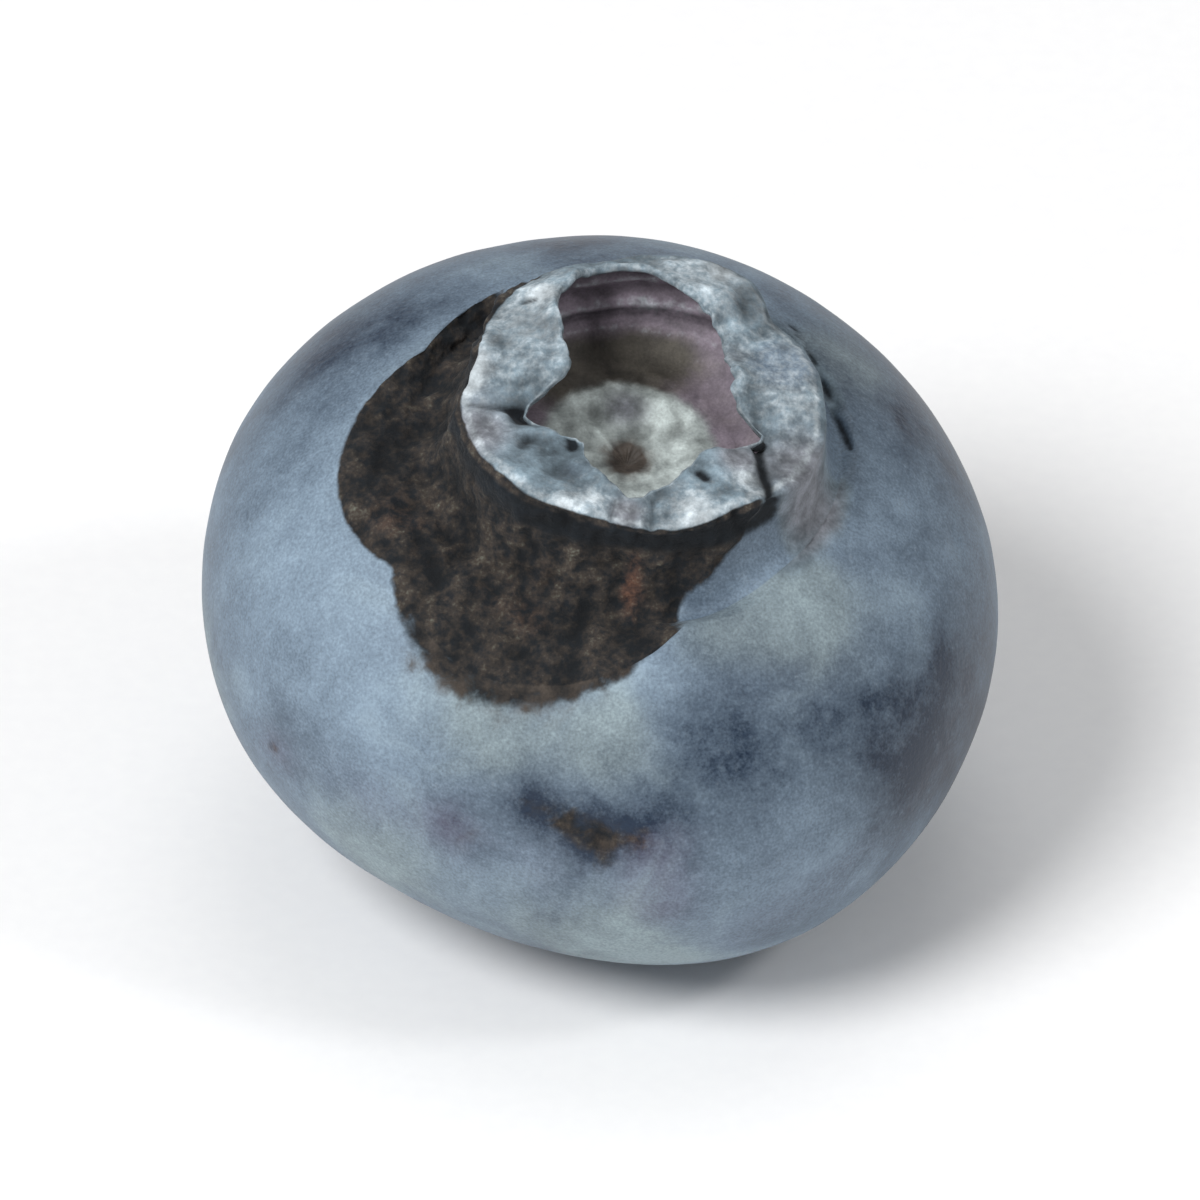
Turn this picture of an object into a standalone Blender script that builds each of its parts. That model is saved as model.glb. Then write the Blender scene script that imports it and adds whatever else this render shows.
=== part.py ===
"""A ripe highbush blueberry, picked, resting on its stem end with its crown up.

Run it with blender --background --python part.py, or from the Text editor.
Metres, +Z up. The origin lies on the resting surface, under the middle of the berry's box.

The fruit grew as one piece, so it is one closed solid. A profile is spun about the fruit's axis,
each ring of it is then shaped by one formula of station and azimuth, the fruit is leaned over as
it rests, and a small flat spot is cut where it stands.
Azimuths are in degrees about the fruit's axis: 0 is the right side, 90 the back, 270 the front.
Heights are above the middle of the body, along the same axis.
"""

import math

import bmesh
import bpy
from mathutils import Euler, Matrix, Vector

MM = 0.001

# The body: an oblate fruit, a little fuller than a true ellipsoid, with the slight swellings it grew.
BODY_RADIUS = 8.33 * MM
BODY_HALF_HEIGHT = 5.95 * MM
BODY_FULLNESS = 2.15
SWELLINGS = (  # how many round the waist, share of the radius, azimuth of a crest
    (2, 0.024, 133.3),
    (3, 0.018, 61.6),
    (4, 0.009, 18.5),
    (5, 0.008, 2.5),
)

# The stem scar: the small pit at the bottom pole where the stalk pulled off.
SCAR_RADIUS = 0.90 * MM
SCAR_DEPTH = 0.45 * MM
SCAR_LIP = 0.04 * MM
# In scar radii: the pit's flat bottom, its wall, its lip's width, and where the skin proper starts.
SCAR_BOTTOM = 0.35
SCAR_WALL = 0.60
SCAR_LIP_WIDTH = 0.20
SCAR_REACH = 1.35
STEM_SHIFT = (-0.27 * MM, 0.52 * MM)  # the stem end grew a little off the axis

# The crown: the calyx left from the flower, a ring of wall whose five lobes fold in over a bowl.
CROWN_FOOT_RADIUS = 4.42 * MM
LIP_HEIGHT = 6.92 * MM
FOLD_RADIUS = 0.72 * MM
WALL_THICKNESS = 0.64 * MM
# Each lobe's point: azimuth, outside radius of the wall, length of the wall past the start of its
# fold, how far the lip stands above LIP_HEIGHT, how far the wall leans in, and the lobe's
# bluntness (1 is a straight-sided point, 2 a round one).
LOBES = (
    (8.0, 3.87 * MM, 2.04 * MM, 0.08 * MM, 80.0, 3.0),
    (57.0, 4.05 * MM, 1.78 * MM, 0.04 * MM, 76.0, 1.3),
    (172.0, 3.55 * MM, 2.22 * MM, 0.15 * MM, 80.0, 1.6),
    (228.0, 3.98 * MM, 2.23 * MM, 0.0, 95.0, 1.5),
    (312.0, 3.75 * MM, 1.89 * MM, 0.0, 95.0, 1.2),
)
# The notch after each lobe, in the same terms. At the back the wall ends in a plain rim.
NOTCHES = (
    (40.0, 3.74 * MM, 1.47 * MM, -0.08 * MM, 84.0),
    (104.0, 3.88 * MM, 0.40 * MM, 0.04 * MM, 45.0),
    (198.0, 3.95 * MM, 1.59 * MM, -0.20 * MM, 90.0),
    (267.0, 3.72 * MM, 0.96 * MM, -0.12 * MM, 85.0),
    (343.0, 4.05 * MM, 1.39 * MM, -0.15 * MM, 88.0),
)
NOTCH_CREASE = 0.10 * MM
CREASE_SHARPNESS = 4

# The collar: a groove round the crown's foot, drawn out into two sunken tongues on the front left.
COLLAR_RADIUS = 4.78 * MM
TONGUES = (  # middle, half the spread, reach
    (198.0, 44.0, 1.30 * MM),
    (241.0, 44.0, 1.75 * MM),
)
TONGUE_BLUNTNESS = 1.7
GROOVES = (  # middle, half the spread, depth at the crown's foot
    (214.0, 106.0, 0.50 * MM),
    (52.0, 76.0, 0.28 * MM),
)
GROOVE_EASE = 34.0
COLLAR_SWEEP = 1.3  # over 1, the collar deepens most next to the crown

# The bowl inside the crown, and the nectar disc on its floor round the scar of the style.
DISC_RADIUS = 2.15 * MM
BOWL_FOOT = 4.78 * MM
DISC_MIDDLE = 4.62 * MM
DISC_FLATNESS = 4  # over 2, the disc rises only near its edge
DISC_RING = 1.55 * MM
DISC_RING_WIDTH = 0.40 * MM
DISC_RING_RISE = 0.12 * MM
STYLE_PIT_RADIUS = 0.26 * MM
STYLE_PIT_DEPTH = 0.25 * MM

# How it rests: the axis leans to the front and a little to the right, on a small flat spot.
LEAN_FRONT = 12.3
LEAN_RIGHT = 6.2
REST_FLAT_DEPTH = 0.15 * MM

# How finely it is cut into faces.
SIDES = 72
SCAR_STATIONS = 4
SKIN_STATIONS = 22
COLLAR_STATIONS = 5
WALL_STATIONS = 10
STRAIGHT_SHARE = 0.3  # of the wall's stations, those below the fold
TIP_STATIONS = 3
DISC_STATIONS = (1.0, 0.88, 0.76, 0.62, 0.44, 0.26, 0.13, 0.0)  # shares of the disc's radius
POINT_GAP = 0.001 * MM

SKIN_COLOUR = (0.165, 0.220, 0.300, 1.0)


def smooth_step(share):
    """0 to 1, with no slope at either end."""
    share = min(1.0, max(0.0, share))
    return share * share * (3.0 - 2.0 * share)


def turn_from(middle, azimuth):
    """Degrees from middle to azimuth, the short way round."""
    return (azimuth - middle + 180.0) % 360.0 - 180.0


def bell(distance, width):
    return math.exp(-((distance / width) ** 2))


def skin_height(radius):
    """Height of the upper skin at a radius from the axis."""
    share = min(1.0, radius / BODY_RADIUS)
    return BODY_HALF_HEIGHT * (1.0 - share**BODY_FULLNESS) ** (1.0 / BODY_FULLNESS)


def collar_edge(azimuth):
    """Radius where the skin drops off into the collar."""
    reach = 0.0
    for middle, spread, length in TONGUES:
        off = abs(turn_from(middle, azimuth)) / spread
        reach = max(reach, length * (1.0 - off**TONGUE_BLUNTNESS))
    return COLLAR_RADIUS + reach


def groove_depth(azimuth):
    return sum(
        depth * smooth_step((spread - abs(turn_from(middle, azimuth))) / GROOVE_EASE)
        for middle, spread, depth in GROOVES
    )


def rim_at(azimuth):
    """Outside radius of the wall, its length past the fold, height of its lip, lean in radians."""
    # Each lobe is bordered by its own notch and the one before it.
    for lobe, before, after in zip(LOBES, NOTCHES[-1:] + NOTCHES[:-1], NOTCHES):
        turn = turn_from(lobe[0], azimuth)
        notch = after if turn >= 0.0 else before
        off = turn / turn_from(lobe[0], notch[0])
        if off <= 1.0:
            break
    radius, lift, lean = (lobe[i] + (notch[i] - lobe[i]) * smooth_step(off) for i in (1, 3, 4))
    length = notch[2] + (lobe[2] - notch[2]) * (1.0 - off ** lobe[5])
    return (
        radius - NOTCH_CREASE * off**CREASE_SHARPNESS,
        length,
        LIP_HEIGHT + lift,
        math.radians(lean),
    )


def scar_point(share):
    """Radius and height in the stem scar, out to where the skin starts (1)."""
    radii = share * SCAR_REACH
    radius = SCAR_RADIUS * radii
    pit = SCAR_DEPTH * (1.0 - smooth_step((radii - SCAR_BOTTOM) / SCAR_WALL))
    return radius, -skin_height(radius) + pit - SCAR_LIP * bell(radii - 1.0, SCAR_LIP_WIDTH)


def skin_point(share, azimuth):
    """Radius and height on the skin, from the stem scar (0) round to the collar (1)."""
    power = BODY_FULLNESS / 2.0
    first = math.asin((SCAR_RADIUS * SCAR_REACH / BODY_RADIUS) ** power)
    last = math.pi - math.asin((collar_edge(azimuth) / BODY_RADIUS) ** power)
    angle = first + (last - first) * share
    radius = BODY_RADIUS * math.sin(angle) ** (1.0 / power)
    rise = BODY_HALF_HEIGHT * abs(math.cos(angle)) ** (1.0 / power)
    return radius, math.copysign(rise, -math.cos(angle))


def collar_point(share, azimuth):
    """Radius and height in the collar, from its edge (0) down to the crown's foot (1)."""
    edge = collar_edge(azimuth)
    radius = edge + (CROWN_FOOT_RADIUS - edge) * share
    return radius, skin_height(radius) - groove_depth(azimuth) * share**COLLAR_SWEEP


def wall_point(share, depth, azimuth):
    """Radius and height in the crown's wall, from foot (0) to rim (1).

    depth is 0 on the outer face and 1 on the inner one. Below the fold both flare out: the outer
    face into the collar, the inner one into the bowl.
    """
    radius, length, lip, full_lean = rim_at(azimuth)
    past_fold = length * max(0.0, share - STRAIGHT_SHARE) / (1.0 - STRAIGHT_SHARE)
    lean = min(full_lean, past_fold / FOLD_RADIUS)
    beyond = past_fold - lean * FOLD_RADIUS
    radius -= FOLD_RADIUS * (1.0 - math.cos(lean)) + beyond * math.sin(lean)
    height = lip - FOLD_RADIUS * (1.0 - math.sin(lean)) + beyond * math.cos(lean)
    radius -= depth * WALL_THICKNESS * math.cos(lean)
    height -= depth * WALL_THICKNESS * math.sin(lean)
    if share >= STRAIGHT_SHARE:
        return radius, height
    swing = share / STRAIGHT_SHARE * math.pi / 2.0
    foot_radius, foot = DISC_RADIUS, BOWL_FOOT
    if depth == 0.0:
        foot_radius = CROWN_FOOT_RADIUS
        foot = skin_height(CROWN_FOOT_RADIUS) - groove_depth(azimuth)
    return (
        foot_radius + (radius - foot_radius) * math.sin(swing),
        height - (height - foot) * math.cos(swing),
    )


def tip_point(share, azimuth):
    """Radius and height round the blunt rim, from the outer face (0) over to the inner one (1)."""
    angle = math.pi * share
    outer = Vector(wall_point(1.0, 0.0, azimuth))
    inner = Vector(wall_point(1.0, 1.0, azimuth))
    half = (outer - inner) / 2.0
    ahead = Vector((-half.y, half.x))
    return tuple((outer + inner) / 2.0 + half * math.cos(angle) + ahead * math.sin(angle))


def disc_point(share):
    """Radius and height on the bowl's floor, from the disc's edge (1) to the middle (0)."""
    radius = DISC_RADIUS * share
    height = DISC_MIDDLE + (BOWL_FOOT - DISC_MIDDLE) * share**DISC_FLATNESS
    height += DISC_RING_RISE * bell(radius - DISC_RING, DISC_RING_WIDTH)
    height -= STYLE_PIT_DEPTH * bell(radius, STYLE_PIT_RADIUS)
    return radius, height


def station_list():
    """Every ring of the profile from the bottom pole to the bowl's middle, as (zone, share) pairs."""
    stations = [("scar", i / SCAR_STATIONS) for i in range(SCAR_STATIONS + 1)]
    stations += [("skin", i / SKIN_STATIONS) for i in range(1, SKIN_STATIONS + 1)]
    stations += [("collar", i / COLLAR_STATIONS) for i in range(1, COLLAR_STATIONS)]
    stations += [("outer", i / WALL_STATIONS) for i in range(WALL_STATIONS + 1)]
    stations += [("tip", i / (TIP_STATIONS + 1)) for i in range(1, TIP_STATIONS + 1)]
    stations += [("inner", 1.0 - i / WALL_STATIONS) for i in range(WALL_STATIONS)]
    stations += [("disc", share) for share in DISC_STATIONS]
    return stations


def fruit_point(station, azimuth):
    """A point of the fruit, its axis upright and the body's middle at the origin."""
    zone, share = station
    if zone == "scar":
        radius, height = scar_point(share)
    elif zone == "skin":
        radius, height = skin_point(share, azimuth)
    elif zone == "collar":
        radius, height = collar_point(share, azimuth)
    elif zone == "tip":
        radius, height = tip_point(share, azimuth)
    elif zone == "disc":
        radius, height = disc_point(share)
    else:
        radius, height = wall_point(share, 0.0 if zone == "outer" else 1.0, azimuth)
    swelling = sum(
        share_of_radius * math.cos(math.radians(count * (azimuth - crest)))
        for count, share_of_radius, crest in SWELLINGS
    )
    radius *= 1.0 + swelling * (radius / BODY_RADIUS) ** 2
    turn = math.radians(azimuth)
    stem_end = (min(0.0, height) / BODY_HALF_HEIGHT) ** 2
    return Vector(
        (
            radius * math.cos(turn) + STEM_SHIFT[0] * stem_end,
            radius * math.sin(turn) + STEM_SHIFT[1] * stem_end,
            height,
        )
    )


def spin_fruit():
    """The fruit with its axis upright: the profile's chain of edges, spun, then each ring shaped."""
    stations = station_list()
    bm = bmesh.new()
    station_of = bm.verts.layers.int.new("station")
    chain = []
    for index, station in enumerate(stations):
        vert = bm.verts.new(fruit_point(station, 0.0))
        vert[station_of] = index
        chain.append(vert)
    edges = [bm.edges.new(pair) for pair in zip(chain, chain[1:])]
    bmesh.ops.spin(
        bm,
        geom=chain + edges,
        axis=(0.0, 0.0, 1.0),
        cent=(0.0, 0.0, 0.0),
        angle=math.tau,
        steps=SIDES,
        use_merge=True,
    )
    side = 360.0 / SIDES
    for vert in bm.verts:
        # The spin's own azimuth, freed of its rounding, so that both ends of the seam agree.
        azimuth = round(math.degrees(math.atan2(vert.co.y, vert.co.x)) / side) * side
        vert.co = fruit_point(stations[vert[station_of]], azimuth % 360.0)
    bmesh.ops.remove_doubles(bm, verts=bm.verts, dist=POINT_GAP)
    return bm


def rest_on_flat_spot(bm):
    """Leans the fruit, cuts its flat spot and puts that on z = 0, under the middle of the box."""
    lean = Euler((math.radians(LEAN_FRONT), math.radians(LEAN_RIGHT), 0.0)).to_matrix()
    bmesh.ops.rotate(bm, verts=bm.verts, cent=(0.0, 0.0, 0.0), matrix=lean)
    floor_height = min(vert.co.z for vert in bm.verts) + REST_FLAT_DEPTH
    cut = bmesh.ops.bisect_plane(
        bm,
        geom=bm.verts[:] + bm.edges[:] + bm.faces[:],
        dist=POINT_GAP,
        plane_co=(0.0, 0.0, floor_height),
        plane_no=(0.0, 0.0, -1.0),
        clear_outer=True,
    )
    rim = [item for item in cut["geom_cut"] if isinstance(item, bmesh.types.BMEdge)]
    bmesh.ops.edgenet_fill(bm, edges=rim)
    bmesh.ops.recalc_face_normals(bm, faces=bm.faces)
    across = [[vert.co[axis] for vert in bm.verts] for axis in (0, 1)]
    middle = [(min(values) + max(values)) / 2.0 for values in across]
    place = Matrix.Translation((-middle[0], -middle[1], -floor_height))
    bmesh.ops.transform(bm, verts=bm.verts, matrix=place)


def skin_material():
    material = bpy.data.materials.new("blueberry_skin")
    material.use_nodes = True
    shader = material.node_tree.nodes["Principled BSDF"]
    shader.inputs["Base Color"].default_value = SKIN_COLOUR
    shader.inputs["Roughness"].default_value = 0.55
    shader.inputs["Metallic"].default_value = 0.0
    return material


def build_blueberry():
    bm = spin_fruit()
    rest_on_flat_spot(bm)
    mesh = bpy.data.meshes.new("blueberry")
    bm.to_mesh(mesh)
    bm.free()
    mesh.shade_smooth()
    mesh.set_sharp_from_angle(angle=math.radians(50.0))
    mesh.materials.append(skin_material())
    berry = bpy.data.objects.new("blueberry", mesh)
    bpy.context.scene.collection.objects.link(berry)
    return berry


def main():
    for obj in list(bpy.data.objects):
        bpy.data.objects.remove(obj)
    build_blueberry()


main()
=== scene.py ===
"""A ripe highbush blueberry, picked, resting on a pale floor with its crown up.

The file is laid out as an add-on: sizes and colours are properties, the fruit and the stage are
operators, and a panel in the 3D view's sidebar lists them. Run as a script, it makes the fruit
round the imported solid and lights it.

Azimuths are in degrees about the fruit's own axis: 0 is the right side, 90 the back, 270 the
front. Heights are above the middle of the body, along the same axis. Tables of spots, patches,
scars and dents are in millimetres; every other length is in metres.
"""

import math
from functools import lru_cache

import bmesh
import bpy
from bpy.props import FloatProperty, FloatVectorProperty, IntProperty, PointerProperty
from mathutils import Euler, Matrix, Vector, noise


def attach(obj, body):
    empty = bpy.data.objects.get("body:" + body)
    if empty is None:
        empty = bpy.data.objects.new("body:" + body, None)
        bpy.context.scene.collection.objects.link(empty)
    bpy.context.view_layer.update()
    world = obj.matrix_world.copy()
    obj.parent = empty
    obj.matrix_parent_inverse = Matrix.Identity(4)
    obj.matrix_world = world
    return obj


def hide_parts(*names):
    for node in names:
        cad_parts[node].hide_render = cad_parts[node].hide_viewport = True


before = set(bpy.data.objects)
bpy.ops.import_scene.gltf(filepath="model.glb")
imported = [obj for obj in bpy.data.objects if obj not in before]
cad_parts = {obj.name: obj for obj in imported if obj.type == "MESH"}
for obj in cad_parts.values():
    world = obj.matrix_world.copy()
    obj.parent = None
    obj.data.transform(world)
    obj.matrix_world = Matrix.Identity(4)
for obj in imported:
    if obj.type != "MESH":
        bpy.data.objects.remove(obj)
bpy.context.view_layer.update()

bl_info = {
    "name": "Ripe blueberry",
    "version": (1, 0, 0),
    "blender": (4, 5, 0),
    "location": "3D View > Sidebar > Blueberry",
    "description": "A blueberry with its waxy bloom, corky collar and folded crown",
    "category": "Object",
}

MM = 0.001

# The body's slight swellings: how many round the waist, share of the radius, azimuth of a crest.
BODY_FULLNESS = 2.15
SWELLINGS = ((2, 0.024, 133.3), (3, 0.018, 61.6), (4, 0.009, 18.5), (5, 0.008, 2.5))

# The stem scar. In scar radii: flat bottom, wall, lip's width, and where the skin proper starts.
SCAR_RADIUS = 0.90 * MM
SCAR_DEPTH = 0.45 * MM
SCAR_LIP = 0.04 * MM
SCAR_BOTTOM = 0.35
SCAR_WALL = 0.60
SCAR_LIP_WIDTH = 0.20
SCAR_REACH = 1.35
STEM_SHIFT = (-0.27 * MM, 0.52 * MM)

# The crown. Each lobe's point: azimuth, outside radius of the wall, length of the wall past the
# start of its fold, lift of the lip, how far the wall leans in, bluntness of the lobe. Then the
# notch after each lobe in the same terms.
CROWN_FOOT_RADIUS = 4.42 * MM
LOBES = (
    (8.0, 3.87 * MM, 2.04 * MM, 0.08 * MM, 80.0, 3.0),
    (57.0, 4.05 * MM, 1.78 * MM, 0.04 * MM, 76.0, 1.3),
    (172.0, 3.55 * MM, 2.22 * MM, 0.15 * MM, 80.0, 1.6),
    (228.0, 3.98 * MM, 2.23 * MM, 0.0, 95.0, 1.5),
    (312.0, 3.75 * MM, 1.89 * MM, 0.0, 95.0, 1.2),
)
NOTCHES = (
    (40.0, 3.74 * MM, 1.47 * MM, -0.08 * MM, 84.0),
    (104.0, 3.90 * MM, 0.40 * MM, -0.26 * MM, 45.0),
    (198.0, 3.95 * MM, 1.59 * MM, -0.20 * MM, 90.0),
    (267.0, 3.72 * MM, 0.96 * MM, -0.12 * MM, 85.0),
    (343.0, 4.05 * MM, 1.39 * MM, -0.15 * MM, 88.0),
)
NOTCH_CREASE = 0.10 * MM
CREASE_SHARPNESS = 4
RAGGED = ((22.0, 0.15 * MM), (70.0, 0.07 * MM))  # tatters of the free edge: how many round, depth
# Crumples of the lobes: how many round, size along the lobe, height.
CRUMPLES = ((11.0, 1.15 * MM, 0.19 * MM), (33.0, 0.46 * MM, 0.08 * MM))
CRUMPLE_EASE = 0.45 * MM
CRUMPLE_SINK = 0.3  # share of its height that a crumple sinks, so that the lobes stay low
THIN_EDGE = 0.8  # share of the wall's thickness left at its free edge

# The collar: a groove round the crown's foot, drawn out into two sunken tongues on the front left.
COLLAR_RADIUS = 4.78 * MM
TONGUES = ((198.0, 44.0, 1.30 * MM), (241.0, 44.0, 1.75 * MM))  # middle, half the spread, reach
TONGUE_BLUNTNESS = 1.7
GROOVES = ((214.0, 106.0, 0.50 * MM), (52.0, 76.0, 0.28 * MM))  # middle, half the spread, depth
GROOVE_EASE = 34.0
COLLAR_SWEEP = 1.3

# The bowl inside the crown, and the nectar disc on its floor round the scar of the style.
DISC_RADIUS = 2.15 * MM
BOWL_FOOT = 4.78 * MM
DISC_MIDDLE = 4.62 * MM
DISC_FLATNESS = 4
DISC_RING = 1.55 * MM
DISC_RING_WIDTH = 0.40 * MM
DISC_RING_RISE = 0.12 * MM
STYLE_PIT_RADIUS = 0.26 * MM
STYLE_PIT_DEPTH = 0.25 * MM

# How it rests, and how little the dressed fruit is drawn in so that it keeps inside the solid.
REST_FLAT_DEPTH = 0.15 * MM
DRAW_IN = 0.9985

# How finely it is cut: rings in each zone of the profile.
SCAR_STATIONS = 14
SKIN_STATIONS = 104
COLLAR_STATIONS = 24
FOLD_STATIONS = 34
STRAIGHT_SHARE = 0.3
STRAIGHT_STATIONS = 20
TIP_STATIONS = 7
DISC_RINGS = 26
POINT_GAP = 0.0005 * MM

# Relief of the skin: slow swells, then a finer unevenness. Size of a swell, height.
SKIN_RELIEF = ((2.7 * MM, 0.034 * MM), (0.85 * MM, 0.009 * MM))
# Small dents in the skin: azimuth, height, radius, depth.
DENTS = (
    (269.0, 1.95, 0.34, 0.10),
    (260.0, 2.25, 0.30, 0.05),
    (356.0, 3.4, 0.20, 0.04),
    (243.0, 0.9, 0.30, 0.04),
    (120.0, 1.2, 0.34, 0.05),
    (62.0, -1.4, 0.26, 0.05),
)
# Corky flakes on the collar: size of a flake, height.
CORK_RELIEF = ((0.70 * MM, 0.11 * MM), (0.28 * MM, 0.08 * MM), (0.13 * MM, 0.035 * MM))
CORK_STREAKS = (84.0, 1.10 * MM, 0.05 * MM)  # how many round, length, height
CORK_SINK = 0.04 * MM  # how far the cork lies under the fruit's plain form
CORK_LEAN = math.radians(50.0)  # the wall is corky up to where it has folded so far
CORK_LEAN_EASE = 0.5
# On the right its lower edge climbs the wall: azimuth and height where it starts and ends.
CORK_CLIMB = (272.0, 3.7 * MM, 316.0, 6.85 * MM)
CORK_CLIMB_WAVES = 34.0
CORK_CLIMB_WAVER = 0.5 * MM
CORK_CLIMB_EASE = 0.5 * MM
# Where the cork lies round the fruit: azimuths of its two ends, and how far it eases out.
CORK_ON_WALL = (128.0, 318.0, 8.0)
CORK_ON_COLLAR = (134.0, 276.0, 16.0)
CORK_ON_RIM = (176.0, 270.0, 14.0)
CORK_FRONT = (228.0, 268.0, 14.0)
CORK_RIM = 0.75
CORK_FRINGE = 0.12 * MM
CORK_FRONT_FRINGE = 0.30 * MM
# Brown scurf on the skin below the collar: where, how far it runs out, how thick, and its lumps.
SCURF_SPAN = (230.0, 264.0, 14.0)
SCURF_REACH = 0.80 * MM
SCURF_SHARE = 0.54
SCURF_SIZE = 0.45 * MM
SCURF_GRAIN = 0.22 * MM
SCURF_HEIGHT = 0.05 * MM
SKIN_SINK = 0.02 * MM  # how far the skin's relief lies under the fruit's plain form
# Dry skin round the crown's foot: where, out to what radius, and how far it eases out.
DRY_SPANS = ((24.0, 82.0, 14.0), (322.0, 348.0, 16.0))
DRY_RADIUS = 5.3 * MM
DRY_EASE = 1.1 * MM
SCAR_RIDGES = (24.0, 0.04 * MM)  # how many round the stem scar, height
# Ribs that run out along the lobes: how many round, height.
LOBE_RIBS = ((52.0, 0.032 * MM), (120.0, 0.016 * MM))
RIB_SLANT = 1.6
FOLDED_LEAN = math.radians(40.0)  # from here on the wall counts as a folded lobe
# Pitting of the lobes: size of a pit, height.
LOBE_PITS = ((0.33 * MM, 0.032 * MM), (0.15 * MM, 0.015 * MM))
# Wrinkles that run round the bowl's wall: distance between them, height, how far they waver.
BOWL_WRINKLES = (0.46 * MM, 0.06 * MM, 0.8)
# Painted highlight on the crests of the bowl's wrinkles.
WRINKLE_PAINTED_HIGHLIGHT = 0.40
# The bowl's floor is olive within these azimuths, and a little of it elsewhere.
OLIVE_SPAN = (75.0, 130.0, 25.0)
OLIVE_LEAST = 0.3
DISC_RELIEF = ((0.42 * MM, 0.050 * MM), (0.17 * MM, 0.022 * MM))
DISC_RAYS = (26.0, 0.014 * MM)  # how many round, height
DISC_EDGE = 0.7 * MM
STYLE_STAIN_RADIUS = 0.55 * MM
# Height of relief at which a crest is painted fully lit, and a hollow fully shaded.
CREST_LIGHT_AND_SHADE_AT = {"skin": 0.024 * MM, "lobe": 0.036 * MM, "disc": 0.035 * MM, "cork": 0.10 * MM}
# Creases and pits on the folded lobes, sunk and painted with shade by their depth: azimuth and
# radius of both ends, half width, depth.
CREASES = (
    (200.0, 1.95 * MM, 199.0, 2.55 * MM, 0.21 * MM, 0.14 * MM),
    (197.0, 2.50 * MM, 191.0, 3.60 * MM, 0.09 * MM, 0.07 * MM),
    (213.0, 2.66 * MM, 216.0, 2.98 * MM, 0.15 * MM, 0.06 * MM),
    (224.0, 1.90 * MM, 230.0, 2.05 * MM, 0.13 * MM, 0.10 * MM),
    (138.0, 3.00 * MM, 141.0, 3.20 * MM, 0.10 * MM, 0.08 * MM),
    (302.0, 2.45 * MM, 303.0, 2.62 * MM, 0.13 * MM, 0.12 * MM),
    (346.0, 2.15 * MM, 338.0, 2.70 * MM, 0.17 * MM, 0.13 * MM),
    (337.0, 2.70 * MM, 318.0, 3.80 * MM, 0.14 * MM, 0.12 * MM),
    (277.0, 2.90 * MM, 276.0, 3.60 * MM, 0.08 * MM, 0.07 * MM),
    (262.0, 2.95 * MM, 262.0, 3.55 * MM, 0.06 * MM, 0.05 * MM),
)
# Creases get painted shade, up to nine tenths of full at this depth.
CREASE_FULL_SHADE_DEPTH = 0.13 * MM  # a crease as deep as this is quite dark
# Where the lobes have dried pink, and where highlights are painted on them: azimuth, radius,
# spread, amount.
DRIED = (
    (202.0, 3.65, 0.85, 1.0),
    (95.0, 1.25, 0.50, 0.8),
    (178.0, 3.50, 0.45, 0.7),
    (323.0, 2.60, 0.50, 0.8),
    (336.0, 3.90, 1.00, 1.0),
    (28.0, 2.20, 0.45, 0.5),
    (267.0, 3.20, 0.40, 1.0),
)
# Painted highlights on the lobes.
PAINTED_LOBE_HIGHLIGHTS = (
    (134.0, 3.00, 0.22, 0.9),
    (177.0, 3.55, 0.30, 1.2),
    (254.0, 3.15, 0.22, 0.6),
    (246.0, 3.45, 0.30, 0.5),
    (292.0, 3.25, 0.45, 0.6),
    (358.0, 3.20, 0.50, 0.15),
    (183.0, 3.60, 0.26, 1.1),
    (317.0, 3.15, 0.35, 0.6),
    (64.0, 3.80, 0.30, 0.5),
)
# Where painted shade darkens the lobes to a slate grey: azimuth, radius, spread, amount.
PAINTED_LOBE_SHADE = (
    (222.0, 2.45, 0.55, 0.50),
    (238.0, 2.90, 0.50, 0.42),
    (190.0, 2.60, 0.40, 0.40),
    (150.0, 2.10, 0.45, 0.34),
    (166.0, 3.20, 0.30, 0.34),
    (285.0, 2.75, 0.30, 0.40),
    (306.0, 3.10, 0.35, 0.40),
    (48.0, 3.20, 0.50, 0.16),
    (50.0, 3.60, 1.00, 0.46),
    (66.0, 3.90, 0.35, 0.38),
    (355.0, 3.70, 0.30, 0.34),
    (94.0, 3.80, 0.80, 0.50),
    (113.0, 3.90, 0.50, 0.40),
    (155.0, 2.70, 0.65, 0.30),
    (339.0, 3.90, 0.60, 0.28),
    (14.0, 3.60, 0.50, 0.30),
)
# Where the lobes keep their bloom: azimuth, radius, spread, amount.
BLOOMED = (
    (17.0, 3.10, 0.85, 1.1),
    (240.0, 2.60, 0.60, 0.6),
)
# Painted highlights along the lobes' blunt rims and on the rounded crest of each fold, at the lean
# given below.
TIP_PAINTED_HIGHLIGHT = 0.35
FOLD_PAINTED_HIGHLIGHT = 0.45
FOLD_CREST = math.radians(68.0)
FOLD_CREST_WIDTH = math.radians(22.0)
# The outside of the wall: azimuths where it keeps its bloom, where it is dry, and where a band of
# painted shadow runs under the fold.
BLOOMED_WALL = (282.0, 316.0, 10.0)
DRY_WALL = (328.0, 346.0, 14.0)
SHADOW_BAND_SPAN = (134.0, 318.0, 8.0)
SHADOW_BAND_SHARE = 0.85
SHADOW_BAND_HEIGHT = 5.8 * MM
SHADOW_BAND_EASE = 0.4 * MM
# The narrow groove at the right lobe's foot, darkened with painted shade: azimuth and radius of
# its points.
FOOT_GROOVE = ((49.0, 5.10 * MM), (40.0, 4.80 * MM), (28.0, 4.52 * MM), (6.0, 4.60 * MM))
FOOT_GROOVE_WIDTH = 0.10 * MM
FOOT_GROOVE_BREAKS = 0.55 * MM  # length of its stretches
FOOT_GROOVE_SHADE = 0.75
FOOT_GROOVE_DEPTH = 0.06 * MM
FOOT_SHARE = 0.35  # share of the wall, from its foot, that the groove may cross
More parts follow.
